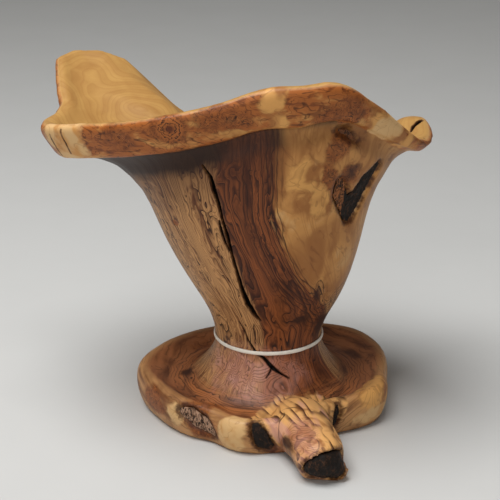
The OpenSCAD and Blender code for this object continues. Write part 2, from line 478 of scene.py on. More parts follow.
class Value:
    """A socket of a material's nodes that arithmetic works on."""

    def __init__(self, book: "NodeBook", socket: bpy.types.NodeSocket) -> None:
        """Stands for one output.

        Args:
            book: the material's nodes.
            socket: the output.
        """
        self.book = book
        self.socket = socket

    def _math(self, operation: str, *terms: "Value | float", clamp: bool = False) -> "Value":
        """Adds a Math node on some terms and returns its output."""
        inputs = dict(enumerate(terms))
        return self.book.node("ShaderNodeMath", {"operation": operation, "use_clamp": clamp}, inputs)

    def __add__(self, other: "Value | float") -> "Value":
        """Sum."""
        return self._math("ADD", self, other)

    __radd__ = __add__

    def __mul__(self, other: "Value | float") -> "Value":
        """Product."""
        return self._math("MULTIPLY", self, other)

    __rmul__ = __mul__

    def __sub__(self, other: "Value | float") -> "Value":
        """Difference."""
        return self._math("SUBTRACT", self, other)

    def __rsub__(self, other: float) -> "Value":
        """A number less this."""
        return self._math("SUBTRACT", other, self)

    def __truediv__(self, other: "Value | float") -> "Value":
        """Quotient."""
        return self._math("DIVIDE", self, other)

    def __pow__(self, other: float) -> "Value":
        """Power."""
        return self._math("POWER", self, other)

    def fraction(self) -> "Value":
        """What is left above the whole number."""
        return self._math("FRACT", self)

    def size(self) -> "Value":
        """The value without its sign."""
        return self._math("ABSOLUTE", self)

    def clamped(self) -> "Value":
        """Held between 0 and 1."""
        return self._math("ADD", self, 0.0, clamp=True)

    def rise(self, low: float, high: float) -> "Value":
        """Goes softly from 0 at low to 1 at high, or from 1 to 0 where low is the larger.

        Args:
            low: value at which it is 0.
            high: value at which it is 1.

        Returns:
            The share.
        """
        start, end, first, last = (low, high, 0.0, 1.0) if low < high else (high, low, 1.0, 0.0)
        settings = {"interpolation_type": "SMOOTHSTEP"}
        return self.book.node(
            "ShaderNodeMapRange", settings, {0: self, 1: start, 2: end, 3: first, 4: last})


class NodeBook:
    """A material and its nodes."""

    def __init__(self, name: str) -> None:
        """Starts an empty material.

        Args:
            name: the material's name.
        """
        self.material = bpy.data.materials.new(name)
        self.material.use_nodes = True
        self.tree = self.material.node_tree
        self.tree.nodes.clear()

    def node(self, kind: str, settings: dict[str, object] | None = None,
            inputs: dict[int | str, object] | None = None, output: int = 0) -> Value | None:
        """Adds a node.

        Args:
            kind: the node's type.
            settings: its properties, set first.
            inputs: values or links for its sockets, by number or name.
            output: number of the output to return.

        Returns:
            That output, or None from a node that has no outputs.
        """
        node = self.tree.nodes.new(kind)
        for key, value in (settings or {}).items():
            setattr(node, key, value)
        for key, value in (inputs or {}).items():
            if isinstance(value, Value):
                self.tree.links.new(value.socket, node.inputs[key])
            elif isinstance(value, tuple) and node.inputs[key].type == "RGBA":
                node.inputs[key].default_value = (*value, 1.0)
            else:
                node.inputs[key].default_value = value
        return Value(self, node.outputs[output]) if len(node.outputs) else None

    def position(self) -> Value:
        """Object coordinates in millimetres."""
        place = self.node("ShaderNodeTexCoord", output=3)
        return self.node("ShaderNodeVectorMath", {"operation": "SCALE"}, {0: place, 3: 1.0 / MM})

    def stretched(self, vector: Value, factors: tuple[float, float, float]) -> Value:
        """A vector times three numbers, one for each of its parts."""
        return self.node("ShaderNodeVectorMath", {"operation": "MULTIPLY"}, {0: vector, 1: factors})

    def shifted(self, vector: Value, offset: "Value | tuple[float, float, float]") -> Value:
        """A vector plus another."""
        return self.node("ShaderNodeVectorMath", {"operation": "ADD"}, {0: vector, 1: offset})

    def parts(self, vector: Value) -> tuple[Value, Value, Value]:
        """Takes a vector apart.

        Args:
            vector: the vector.

        Returns:
            Its three parts.
        """
        first = self.node("ShaderNodeSeparateXYZ", inputs={0: vector})
        outputs = first.socket.node.outputs
        return first, Value(self, outputs[1]), Value(self, outputs[2])

    def length(self, vector: Value) -> Value:
        """The length of a vector."""
        return self.node("ShaderNodeVectorMath", {"operation": "LENGTH"}, {0: vector}, output=1)

    def attribute(self, name: str) -> Value:
        """A single value kept at the mesh's points."""
        return self.node("ShaderNodeAttribute", {"attribute_name": name}, output=2)

    def vector_attribute(self, name: str) -> Value:
        """A vector kept at the mesh's points."""
        return self.node("ShaderNodeAttribute", {"attribute_name": name}, output=1)

    def noise(self, vector: Value, size: float, detail: float = 2.0, swirl: float = 0.0) -> Value:
        """Soft random values between 0 and 1.

        Args:
            vector: where to read them, in millimetres.
            size: distance between lumps, in millimetres.
            detail: how many finer layers are added.
            swirl: how much the pattern twists into itself.

        Returns:
            The value.
        """
        inputs = {"Vector": vector, "Scale": 1.0 / size, "Detail": detail, "Distortion": swirl}
        return self.node("ShaderNodeTexNoise", inputs=inputs)

    def mix(self, low: "Value | Colour", high: "Value | Colour", share: "Value | float") -> Value:
        """Blends two colours.

        Args:
            low: the colour where share is 0.
            high: the colour where share is 1.
            share: how much of the second there is.

        Returns:
            The blended colour.
        """
        settings = {"data_type": "RGBA", "blend_type": "MIX", "clamp_factor": True}
        return self.node("ShaderNodeMix", settings, {0: share, 6: low, 7: high}, output=2)

    def finish(self, colour: "Value | Colour", rough: "Value | float", bump: Value | None,
            bump_depth: float, **constants: float) -> bpy.types.Material:
        """Joins everything up in the surface shader.

        Args:
            colour: base colour.
            rough: roughness.
            bump: height of the fine relief, from 0 to 1, or none.
            bump_depth: that relief's depth in metres.
            constants: other sockets of the shader that are the same all over.

        Returns:
            The finished material.
        """
        inputs: dict[int | str, object] = {"Base Color": colour, "Roughness": rough}
        if bump is not None:
            inputs["Normal"] = self.node(
                "ShaderNodeBump", inputs={"Strength": 1.0, "Distance": bump_depth, "Height": bump})
        inputs.update({key.replace("_", " "): value for key, value in constants.items()})
        surface = self.node("ShaderNodeBsdfPrincipled", inputs=inputs)
        self.node("ShaderNodeOutputMaterial", inputs={0: surface})
        return self.material


# ---------------------------------------------------------------- finishes


@dataclass(frozen=True)
class Fade:
    """How a patch ends: the field's value where it is faint and where it is full, its strength
    and how torn its edge is."""

    faint: float
    full: float
    strength: float = 1.0
    torn: float = 1.0


FADES = {
    Zone.BURL: Fade(-0.05, 0.40, strength=0.9),
    Zone.GOLD: Fade(-0.03, 0.10, torn=0.45),
    Zone.PLUM: Fade(-0.45, 0.60, strength=0.7),
    Zone.HONEY: Fade(-0.05, 0.40, strength=0.85, torn=1.5),
    Zone.CREAM: Fade(-0.05, 0.28),
    Zone.DARK: Fade(0.0, 0.7, strength=0.92, torn=1.6),
}


@dataclass(frozen=True)
class OliveWood:
    """Oiled olive-root wood: dark growth lines, pale sapwood, burl, knots and cracks."""

    tan: Colour = (0.54, 0.275, 0.105)
    tan_dark: Colour = (0.17, 0.060, 0.020)
    heart: Colour = (0.270, 0.076, 0.020)
    heart_dark: Colour = (0.052, 0.012, 0.004)
    golden: Colour = (0.56, 0.268, 0.078)
    golden_dark: Colour = (0.33, 0.130, 0.034)
    line: Colour = (0.022, 0.007, 0.003)
    burl: Colour = (0.37, 0.112, 0.024)
    burl_dark: Colour = (0.115, 0.026, 0.007)
    cream: Colour = (0.66, 0.41, 0.18)
    honey: Colour = (0.70, 0.36, 0.105)
    ochre: Colour = (0.50, 0.285, 0.085)
    ochre_dark: Colour = (0.31, 0.140, 0.036)
    dish: Colour = (0.40, 0.150, 0.055)
    dish_dark: Colour = (0.110, 0.034, 0.012)
    plum: Colour = (0.60, 0.300, 0.245)
    gold: Colour = (0.74, 0.39, 0.135)
    black: Colour = (0.006, 0.004, 0.003)
    lines_round: float = 112.0
    lobe: tuple[float, float, float] = (76.0, -34.0, -166.0)
    stub_angle: float = 290.0
    relief: float = 0.07
    coat: float = 0.05
    coat_rough: float = 0.25
    shine: float = 0.22

    def material(self) -> bpy.types.Material:
        """Builds the finish.

        Returns:
            The material, which reads the attributes that CarvedRoot keeps at its points.
        """
        book = NodeBook("olive_wood")
        place = book.position()
        grain = book.vector_attribute("grain")
        ring = book.vector_attribute("ring")
        cloud = book.noise(place, size=14.0, detail=3.0)
        wobble = cloud - 0.5

        wall = self.wall(book, place, grain, wobble)
        foot = self.foot(book, place, ring)
        foot_share = (book.attribute("on_foot") + 12.0 * wobble).rise(-4.0, 5.0)
        colour = book.mix(wall, foot, foot_share)

        rim_share = (book.attribute("rim") + 1.2 * wobble).rise(-0.5, 0.5)
        # Painted shade under the rim's overhang, over wood that is also darker there.
        colour = self.dark_wood_and_shade_under_rim(book, colour, wobble)
        colour = book.mix(colour, self.edge(book, place), rim_share)
        inside_share = (book.attribute("inside") + 0.10 * wobble).rise(0.20, 0.34)
        colour = book.mix(colour, self.inside(book, place), inside_share)
        # Lighter along the rim's rounded top edge: partly worn wood, partly a painted highlight.
        crest = book.attribute("inside").rise(-0.12, 0.16) * book.attribute("inside").rise(0.48, 0.26)
        colour = book.mix(colour, self.cream, 0.30 * crest)

        colour = self.patches(book, place, colour, wobble)
        colour = self.knots(book, place, colour)
        colour = self.cracks(book, place, colour)

        fibre = book.noise(book.stretched(grain, (1.0, 1.0, 0.6)), size=0.8, detail=3.0)
        pores = book.noise(place, size=0.6, detail=1.0)
        bump = (0.6 * fibre + 0.4 * pores).clamped()
        rough = (0.33 + 0.14 * fibre + 0.12 * cloud).clamped()
        return book.finish(colour, rough, bump, self.relief * MM, Coat_Weight=self.coat,
            Coat_Roughness=self.coat_rough, Specular_IOR_Level=self.shine)

    def dark_wood_and_shade_under_rim(self, book: NodeBook, colour: Value, wobble: Value) -> Value:
        """Darkens the wood under the rim, partly its own darker colour there and partly painted shade under
        the overhang, least on the golden sapwood and the heartwood.

        Args:
            book: the material's nodes.
            colour: what lies under the darker wood and the painted shade.
            wobble: soft random shift of its edge.

        Returns:
            The colour with the darker wood and the painted shade under the rim.
        """
        sapwood = book.attribute("golden").rise(-1.0, 8.0)
        heartwood = book.attribute("heartwood").rise(-2.0, 12.0)
        under = book.attribute("under") + 9.0 * wobble
        # Both bands are partly painted shade under the rim and partly the wood's own darker colour there.
        broad_dark_and_shade = 0.55 * under.rise(-42.0, -14.0) * (1.0 - sapwood)
        close_dark_and_shade = 0.96 * under.rise(-17.0, -9.0) * (1.0 - 0.75 * sapwood) * (1.0 - 0.6 * heartwood)
        colour = book.mix(colour, self.heart_dark, broad_dark_and_shade)
        return book.mix(colour, self.line, close_dark_and_shade)

    def thin(self, field: Value, start: float = 0.80) -> Value:
        """Draws a thin line once in each whole step of a field.

        Args:
            field: a value that rises across the lines.
            start: share of the step at which the line begins.

        Returns:
            Strength of the line, from 0 to 1.
        """
        full, fading, end = 0.93, 0.96, 1.0
        step = field.fraction()
        return step.rise(start, full) * step.rise(end, fading)

    def contour(self, book: NodeBook, vector: Value, size: float, count: float, swirl: float,
            start: float = 0.80) -> Value:
        """Closed wavy lines, like those of a map, as burl shows.

        Args:
            book: the material's nodes.
            vector: where to read them.
            size: width of the hills that the lines go round, in millimetres.
            count: lines on a hill.
            swirl: how much the lines curl.
            start: share of each step at which the line begins.

        Returns:
            Strength of the line, from 0 to 1.
        """
        return self.thin(book.noise(vector, size=size, detail=2.0, swirl=swirl) * count, start=start)

    def wall(self, book: NodeBook, place: Value, grain: Value, wobble: Value) -> Value:
        """Colour of the bowl's outside: tan on the left, dark heartwood, then golden sapwood.

        Args:
            book: the material's nodes.
            place: object coordinates in millimetres.
            grain: unbent place round and along the stem.
            wobble: soft random shift.

        Returns:
            The colour.
        """
        across, over, _ = book.parts(grain)
        turn = book.node("ShaderNodeMath", {"operation": "ARCTAN2"}, {0: over, 1: across})
        drift = book.noise(grain, size=15.0, detail=3.0, swirl=0.5)
        shiver = book.noise(book.shifted(grain, (31.0, 7.0, 3.0)), size=5.5, detail=1.0, swirl=0.6)
        curl = book.noise(place, size=16.0, detail=2.0, swirl=0.5)
        layers = turn * (self.lines_round / math.tau) + 16.0 * drift + 2.6 * shiver + 3.0 * curl
        bands = book.noise(grain, size=6.5, detail=3.0, swirl=0.3)
        streak = book.noise(grain, size=1.6, detail=2.0)
        tone = 0.90 * bands + 0.45 * streak - 0.25 * layers.fraction() ** 1.5
        tan = book.mix(self.tan_dark, self.tan, tone.rise(0.30, 0.64))
        heart = book.mix(self.heart_dark, self.heart, tone.rise(0.34, 0.66))
        wide_bands = (layers / 4.3).fraction().rise(0.35, 0.95)
        heart = book.mix(heart, self.heart_dark, 0.55 * wide_bands)
        deep = (book.attribute("heartwood") + 5.0 * wobble).rise(-1.5, 2.5)
        brown = book.mix(tan, heart, deep)
        fine = self.thin(layers * 2.0 + streak, start=0.45)
        brown = book.mix(brown, self.heart_dark, 0.50 * fine)
        presence = book.noise(book.shifted(grain, (5.0, 60.0, 11.0)), size=7.0, detail=1.0)
        lines = self.thin(layers, start=0.70) * presence.rise(0.38, 0.54)
        brown = book.mix(brown, self.line, 0.92 * lines)

        edge = book.attribute("golden") + 3.0 * wobble
        beside = self.thin(edge / 2.6 + 1.6 * shiver + 1.2 * curl, start=0.66)
        near = edge.rise(-22.0, -12.0) * edge.rise(5.0, 0.5)
        sapwood = self.sapwood(book, place, grain)
        colour = book.mix(brown, sapwood, (edge + 16.0 * (streak - 0.5)).rise(-3.0, 3.5))
        return book.mix(colour, self.line, 0.88 * beside * near)

    def sapwood(self, book: NodeBook, place: Value, grain: Value) -> Value:
        """Colour of the golden sapwood: cloudy, with light patches and short slanting smears.

        Args:
            book: the material's nodes.
            place: object coordinates in millimetres.
            grain: unbent place round and along the stem.

        Returns:
            The colour.
        """
        cloud = book.noise(book.stretched(place, (1.0, 1.0, 0.6)), size=19.0, detail=3.0, swirl=0.7)
        golden = book.mix(self.golden_dark, self.golden, cloud.rise(0.32, 0.60))
        golden = book.mix(golden, self.cream, 0.45 * cloud.rise(0.56, 0.68))
        slant = book.node("ShaderNodeVectorRotate", {"rotation_type": "Y_AXIS"},
            {"Vector": place, "Angle": math.radians(35)})
        flame = book.noise(book.stretched(slant, (1.4, 1.0, 0.40)), size=6.0, detail=3.0, swirl=1.0)
        golden = book.mix(golden, self.burl_dark, 0.42 * flame.rise(0.55, 0.72))
        faint = self.thin(book.noise(grain, size=12.0, detail=2.0, swirl=0.4) * 11.0, start=0.60)
        return book.mix(golden, self.golden_dark, 0.45 * faint)

    def foot(self, book: NodeBook, place: Value, ring: Value) -> Value:
        """Colour of the foot, brushed round and darker in the dish.

        Args:
            book: the material's nodes.
            place: object coordinates in millimetres.
            ring: place across the rings.

        Returns:
            The colour.
        """
        across, _, _ = book.parts(ring)
        bands = book.noise(ring, size=4.2, detail=3.0, swirl=0.2)
        cloud = book.noise(place, size=20.0, detail=3.0, swirl=0.4)
        curl = book.noise(place, size=17.0, detail=2.0, swirl=0.7)
        layers = across / 2.5 + 5.0 * book.noise(ring, size=9.0, detail=2.0, swirl=0.4) + 4.0 * curl
        dish = book.mix(self.dish_dark, self.dish, (0.85 * bands + 0.50 * cloud).rise(0.46, 0.82))
        near_stem = book.attribute("on_foot").rise(22.0, 7.0)
        dish = book.mix(dish, self.burl, 0.45 * near_stem * bands.rise(0.42, 0.60))
        from_edge = book.attribute("lip")
        side = book.mix(self.tan_dark, self.tan, (0.6 * bands + 0.6 * cloud).rise(0.42, 0.70))
        colour = book.mix(side, dish, (from_edge + 6.0 * (cloud - 0.5)).rise(3.0, 8.0))
        presence = (curl + 0.16 * near_stem).rise(0.40, 0.56)
        strength = (0.45 + 0.35 * near_stem) * presence
        colour = book.mix(colour, self.line, strength * self.thin(layers, start=0.66))
        lip = from_edge.rise(2.0, 4.5) * from_edge.rise(9.0, 6.0)
        return book.mix(colour, self.tan, 0.35 * lip)

    def edge(self, book: NodeBook, place: Value) -> Value:
        """Colour of the rim's outer face.

        Args:
            book: the material's nodes.
            place: object coordinates in millimetres.

        Returns:
            The colour.
        """
        flat = book.stretched(place, (0.7, 0.7, 1.5))
        cloud = book.noise(flat, size=12.0, detail=3.0, swirl=0.5)
        base = book.mix(self.burl, self.honey, cloud.rise(0.50, 0.80))
        shadow = book.noise(flat, size=5.0, detail=3.0, swirl=1.0).rise(0.48, 0.68)
        base = book.mix(base, self.burl_dark, 0.7 * shadow)
        return book.mix(base, self.line, 0.6 * self.contour(book, flat, size=15.0, count=9.0, swirl=0.9))

    def inside(self, book: NodeBook, place: Value) -> Value:
        """Colour of the bowl's inside: ochre with nested arches in the lobe.

        Args:
            book: the material's nodes.
            place: object coordinates in millimetres.

        Returns:
            The colour.
        """
        drift = book.noise(place, size=38.0, detail=1.0, swirl=0.35)
        from_lobe = book.shifted(place, self.lobe)
        far = book.length(book.stretched(from_lobe, (1.0, 1.25, 0.75)))
        arches = far / 12.0 + 4.0 * drift
        soft = (arches.fraction() - 0.5).size() * 2.0
        cloud = book.noise(place, size=13.0, detail=3.0, swirl=0.8)
        fine = self.thin(arches * 3.0 + 0.8 * cloud, start=0.45)
        tone = (0.30 * soft + 0.85 * cloud - 0.20).clamped()
        base = book.mix(self.ochre, self.ochre_dark, tone)
        return book.mix(base, self.ochre_dark, 0.30 * fine)

    def patches(self, book: NodeBook, place: Value, colour: Value, wobble: Value) -> Value:
        """Lays the patches over a colour, each with its own figure and its own fade.

        Args:
            book: the material's nodes.
            place: object coordinates in millimetres.
            colour: what lies under them.
            wobble: soft random shift of their edges.

        Returns:
            The colour with the patches.
        """
        ragged = book.noise(place, size=5.0, detail=2.0, swirl=0.4) - 0.5
        shift = 1.2 * wobble + 0.5 * ragged
        mottle = book.noise(place, size=3.4, detail=3.0, swirl=0.8)
        tint = book.noise(place, size=11.0, detail=2.0, swirl=0.6)
        figures = (
            (Zone.BURL, self.burl_figure(book, place, mottle)),
            (Zone.GOLD, self.gold_figure(book, place, tint)),
            (Zone.PLUM, self.plum_figure(book, place, tint)),
            (Zone.HONEY, self.honey_figure(book, place, tint)),
            (Zone.CREAM, self.cream_figure(book, place, tint)),
            (Zone.DARK, book.mix(self.line, self.heart_dark, mottle)),
        )
        for zone, figure in figures:
            fade = FADES[zone]
            share = (book.attribute(zone.value) + fade.torn * shift).rise(fade.faint, fade.full)
            colour = book.mix(colour, figure, fade.strength * share)
        return colour

    def burl_figure(self, book: NodeBook, place: Value, mottle: Value) -> Value:
        """Colour of burl: reddish, finely mottled, with closed dark lines.

        Args:
            book: the material's nodes.
            place: object coordinates in millimetres.
            mottle: fine random values.

        Returns:
            The colour.
        """
        burl = book.mix(self.burl, self.burl_dark, (1.9 * mottle - 0.48).clamped())
        lines = self.contour(book, place, size=7.0, count=6.0, swirl=1.6, start=0.70)
        return book.mix(burl, self.line, 0.85 * lines)

    def gold_figure(self, book: NodeBook, place: Value, tint: Value) -> Value:
        """Colour of the stub and the wood round it: gold, with dark strands and black outlines.

        Args:
            book: the material's nodes.
            place: object coordinates in millimetres.
            tint: soft random values.

        Returns:
            The colour.
        """
        along = book.node("ShaderNodeVectorRotate", {"rotation_type": "Z_AXIS"},
            {"Vector": place, "Angle": -math.radians(self.stub_angle)})
        flow = book.stretched(along, (0.32, 1.0, 1.0))
        _, side, up = book.parts(flow)
        strands = (side + 0.8 * up) / 6.0 + 5.0 * book.noise(flow, size=17.0, detail=2.0, swirl=0.6)
        thick = book.noise(place, size=13.0, detail=2.0).rise(0.40, 0.56)
        gold = book.mix(self.gold, self.golden_dark, tint.rise(0.50, 0.72))
        gold = book.mix(gold, self.heart_dark, (0.35 + 0.62 * thick) * self.thin(strands, start=0.36))
        gold = book.mix(gold, self.plum, 0.6 * book.noise(flow, size=12.0, detail=1.0).rise(0.54, 0.62))
        outline = self.thin(book.noise(place, size=26.0, detail=2.0, swirl=0.2) * 3.2, start=0.90)
        return book.mix(gold, self.black, (0.9 - 0.7 * thick) * outline)

    def plum_figure(self, book: NodeBook, place: Value, tint: Value) -> Value:
        """Colour of the flare over the foot: purplish, with many fine curls.

        Args:
            book: the material's nodes.
            place: object coordinates in millimetres.
            tint: soft random values.

        Returns:
            The colour.
        """
        plum = book.mix(self.plum, self.burl, (1.6 * tint - 0.45).clamped())
        lines = self.contour(book, place, size=19.0, count=24.0, swirl=0.5, start=0.50)
        return book.mix(plum, self.line, 0.65 * lines)

    def honey_figure(self, book: NodeBook, place: Value, tint: Value) -> Value:
        """Colour of light patches: honey, with a few faint closed lines.

        Args:
            book: the material's nodes.
            place: object coordinates in millimetres.
            tint: soft random values.

        Returns:
            The colour.
        """
        honey = book.mix(self.honey, self.golden_dark, tint.rise(0.42, 0.66))
        lines = self.contour(book, place, size=16.0, count=8.0, swirl=0.8, start=0.72)
        return book.mix(honey, self.burl_dark, 0.3 * lines)

    def cream_figure(self, book: NodeBook, place: Value, tint: Value) -> Value:
        """Colour of the palest sapwood: cream, almost plain.

        Args:
            book: the material's nodes.
            place: object coordinates in millimetres.
            tint: soft random values.

        Returns:
            The colour.
        """
        cream = book.mix(self.cream, self.golden, tint.rise(0.48, 0.72))
        lines = self.contour(book, place, size=18.0, count=7.0, swirl=0.8)
        return book.mix(cream, self.golden_dark, 0.35 * lines)

    def knots(self, book: NodeBook, place: Value, colour: Value) -> Value:
        """Draws rings round the knots.

        Args:
            book: the material's nodes.
            place: object coordinates in millimetres.
            colour: what lies under them.

        Returns:
            The colour with the knots.
        """
        far = book.attribute("knot")
        ragged = book.noise(place, size=2.6, detail=2.0, swirl=0.8) - 0.5
        core = book.mix(self.burl, self.line, self.thin(far * 3.6 + 2.6 * ragged, start=0.45))
        core = book.mix(core, self.burl_dark, far.rise(0.5, 0.1))
        return book.mix(colour, core, (far + 0.4 * ragged).rise(1.1, 0.8))

    def cracks(self, book: NodeBook, place: Value, colour: Value) -> Value:
        """Paints the cracks' open gaps black and their edges dark brown as painted shade, and darkens the
        wood round the bark.

        Args:
            book: the material's nodes.
            place: object coordinates in millimetres.
            colour: what lies under them.

        Returns:
            The colour with the painted shade in the cracks and the darker wood round the bark.
        """
        ragged = book.noise(place, size=2.5, detail=3.0, swirl=0.5) - 0.5
        # Darker wood within a few millimetres of the bark.
        dark_round_bark = (book.attribute("bark_gap") + 5.0 * ragged).rise(3.0, 0.2)
        colour = book.mix(colour, self.heart_dark, 0.85 * dark_round_bark)
        gap = book.attribute("crack")
        # Painted shade: dark brown along the crack's edges and walls, black down in the open gap.
        colour = book.mix(colour, self.heart_dark, 0.75 * (gap + 1.0 * ragged).rise(0.9, 0.1))
        return book.mix(colour, self.black, (gap + 0.5 * ragged).rise(0.22, -0.12))


@dataclass(frozen=True)
class RootBark:
    """Old black bark, dry and crumbly, with a worn side of another colour."""

    black: Colour = (0.009, 0.005, 0.003)
    brown: Colour = (0.085, 0.034, 0.014)
    worn: Colour = (0.36, 0.13, 0.045)
    relief: float = 0.5
    shine: float = 0.22

    def material(self, name: str) -> bpy.types.Material:
        """Builds the finish.

        Args:
            name: the material's name.

        Returns:
            The material.
        """
        book = NodeBook(name)
        place = book.position()
        lump = book.noise(place, size=4.0, detail=4.0, swirl=0.8)
        crumbs = book.noise(place, size=0.9, detail=3.0, swirl=0.5)
        threads = book.noise(book.stretched(place, (1.6, 1.6, 0.5)), size=1.6, detail=3.0, swirl=1.4)
        dark = book.mix(self.black, self.brown, (0.6 * lump + 0.6 * threads).rise(0.60, 0.82))
        side = book.mix(self.worn, self.brown, (0.7 * lump + 0.5 * threads).rise(0.50, 0.72))
        side = book.mix(side, self.black, threads.rise(0.51, 0.60))
        share = (book.attribute("worn") + 0.9 * (lump - 0.5)).rise(0.3, 0.6)
        rough = (0.45 + 0.4 * crumbs).clamped()
        bump = 0.5 * lump + 0.5 * threads
        return book.finish(book.mix(dark, side, share), rough, bump, self.relief * MM,
            Specular_IOR_Level=self.shine)


@dataclass(frozen=True)
class PaleRubber:
    """Ivory natural rubber, matt, with faint dust and cut marks."""

    ivory: Colour = (0.84, 0.78, 0.68)
    dust: Colour = (0.62, 0.54, 0.44)
    relief: float = 0.05

    def material(self) -> bpy.types.Material:
        """Builds the finish.

        Returns:
            The material.
        """
        book = NodeBook("pale_rubber")
        place = book.position()
        cloud = book.noise(place, size=5.0, detail=3.0)
        cuts = book.noise(book.stretched(place, (0.25, 0.25, 4.0)), size=0.8, detail=2.0)
        colour = book.mix(self.ivory, self.dust, (0.7 * cloud + 0.3 * cuts).rise(0.48, 0.85))
        rough = (0.5 + 0.2 * cloud).clamped()
        return book.finish(colour, rough, cuts, self.relief * MM)


@dataclass(frozen=True)
class PaleFloor:
    """A plain pale painted floor."""

    pale: Colour = (0.60, 0.60, 0.585)
    worn: Colour = (0.57, 0.57, 0.555)
    rough: float = 0.85

    def material(self) -> bpy.types.Material:
        """Builds the finish.

        Returns:
            The material.
        """
        book = NodeBook("pale_floor")
        cloud = book.noise(book.position(), size=60.0, detail=3.0)
        return book.finish(book.mix(self.pale, self.worn, cloud), self.rough, None, 0.0)


# ---------------------------------------------------------------- the pieces


@dataclass
class CarvedRoot:
    """The bowl, its waist, foot and root stub, carved in one piece.

    The first sizes say how the surface is carved. The heights, the reaches in from an outline
    and the last four say where each part of the wood lies and how its grain is laid out.
    """

    voxel: float = 1.55
    smoothing: int = 5
    smooth_angle: float = 50.0
    tool_marks: float = 0.28
    tool_mark_size: float = 19.0
    crack_reach: float = 3.2
    knot_dip: float = 0.35
    cove: float = 2.2
    lip_below: float = 40.0
    foot_top: float = 26.0
    flare_top: float = 62.0
    flare_foot: float = 41.0
    hollow_from: float = 90.0
    rim_from: float = 130.0
    rim_thick: float = 17.0
    rim_crest: float = 16.0
    grain_round: float = 45.0
    grain_along: float = 0.12
    ring_round: float = 7.0
    ring_slope: float = 0.7
    bark_nodes: tuple[str, ...] = ()

    def build(self, frame: dict) -> bpy.types.Object:
        """Carves the fine surface, keeps the grain on it and dresses it.


        Returns:
            The finished piece.
        """
        piece = copy_of_node(frame["nodes"]["carved_root"], "olive_root_vessel")
        apply_modifier(piece, "REMESH", mode="VOXEL", voxel_size=self.voxel * MM, adaptivity=0.0)
        apply_modifier(piece, "SMOOTH", factor=0.5, iterations=self.smoothing)
        skin = Skin(piece)
        trails = [(split, *skin.trail(split)) for split in SPLITS]
        spots = [spot for _, trail, _ in trails for spot in trail]
        for reach in (self.crack_reach, 0.7 * self.crack_reach):
            refine_near(piece, spots, reach)
        self.carve(piece, skin, trails)
        self.keep_fields(piece, frame, skin)
        work_on(piece)
        bpy.ops.object.shade_smooth_by_angle(angle=math.radians(self.smooth_angle))
        piece.data.materials.append(OliveWood().material())
        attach(piece, "root")
        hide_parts("carved_root")
        return piece

    def carve(self, piece: bpy.types.Object, skin: Skin,
            trails: list[tuple[Split, list[Vector], list[float]]]) -> None:
        """Sinks the cracks and knots and leaves the soft unevenness of hand sanding.

        Args:
            piece: the wood.
            skin: its surface before this.
            trails: each crack with the points along it and its half widths.
        """
        points, normals = points_of(piece), normals_of(piece)
        depth = self.tool_marks * (0.5 + 0.5 * lumps(points, self.tool_mark_size, seed=3.1))
        gap = np.full(len(points), FAR_OFF)
        for split, trail, halves in trails:
            tree = tree_of(trail)
            found = [tree.find(Vector(point))[1:] for point in points]
            edge = np.array([far - halves[index] for index, far in found])
            depth += split.depth * smooth_step(0.35, -0.55, edge) * (edge < 1.0)
            gap = np.minimum(gap, edge)
        knot = self.knot_field(points, skin)
        depth += self.knot_dip * smooth_step(1.1, 0.2, knot)
        under = self.under_field(points, normals)
        depth += self.cove * smooth_step(0.8, -1.6, under) * smooth_step(-15.0, -4.0, under)
        inside_floor = smooth_step(0.2, 1.5, points[:, 2])
        move_points(piece, points - normals * (depth * inside_floor)[:, None])
        store(piece, "crack", gap)
        store(piece, "knot", knot)

    @staticmethod
    def knot_field(points: np.ndarray, skin: Skin) -> np.ndarray:
        """Measures how far the nearest knot is.

        Args:
            points: the surface's points.
            skin: the surface that marks are placed on.

        Returns:
            Distance from the nearest knot's middle at each point, with 1 at its edge.
        """
        field = np.full(len(points), FAR_OFF)
        for knot in KNOTS:
            middle = np.array(skin.spot(knot.angle, knot.height, Reach.WALL))
            field = np.minimum(field, np.linalg.norm(points - middle, axis=1) / knot.size)
        return field

    def keep_fields(self, piece: bpy.types.Object, frame: dict, skin: Skin) -> None:
        """Keeps, at every point, where the grain, the zones and the patches lie.

        Args:
            piece: the carved wood.
            skin: the surface that marks are placed on.
        """
        points, normals = points_of(piece), normals_of(piece)
        angle, radius, z = self.round_places(points)
        rim = self.rim_field(angle, radius, z)
        unbent = self.unbend(angle, z)
        turn = np.radians(unbent)
        along = self.grain_along * (z - 0.6 * np.maximum(radius - 60, 0))
        grain = (self.grain_round * np.cos(turn), self.grain_round * np.sin(turn), along)
        store(piece, "grain", np.stack(grain, axis=1))
        swing = np.radians(angle)
        across = radius - self.ring_slope * z
        ring = (across, self.ring_round * np.cos(swing), self.ring_round * np.sin(swing))
        store(piece, "ring", np.stack(ring, axis=1))
        first, last = HEARTWOOD
        store(piece, "heartwood", np.minimum(unbent - first, last - unbent) * HEARTWOOD_STEP)
        store(piece, "golden", self.golden_field(angle, z))
        store(piece, "on_foot", np.where(z < self.flare_top, radius - self.flare_foot, -12.0))
        store(piece, "lip", self.lip_field(angle, radius, z))
        store(piece, "rim", rim)
        store(piece, "under", self.under_field(points, normals))
        out = normals[:, 0] * np.cos(swing) + normals[:, 1] * np.sin(swing)
        facing = 0.6 * normals[:, 2] - 0.5 * out
        store(piece, "inside", np.where(z > self.hollow_from, facing, -1.0))
        store(piece, "bark_gap", self.bark_field(points, frame))
        for zone in Zone:
            store(piece, zone.value, self.zone_field(points, skin, zone, rim))

    @staticmethod
    def round_places(points: np.ndarray) -> tuple[np.ndarray, np.ndarray, np.ndarray]:
        """Each point's angle round the stem, its distance from the middle and its height."""
        x, y, z = points.T
        return np.degrees(np.arctan2(y, x)) % 360, np.hypot(x, y), z

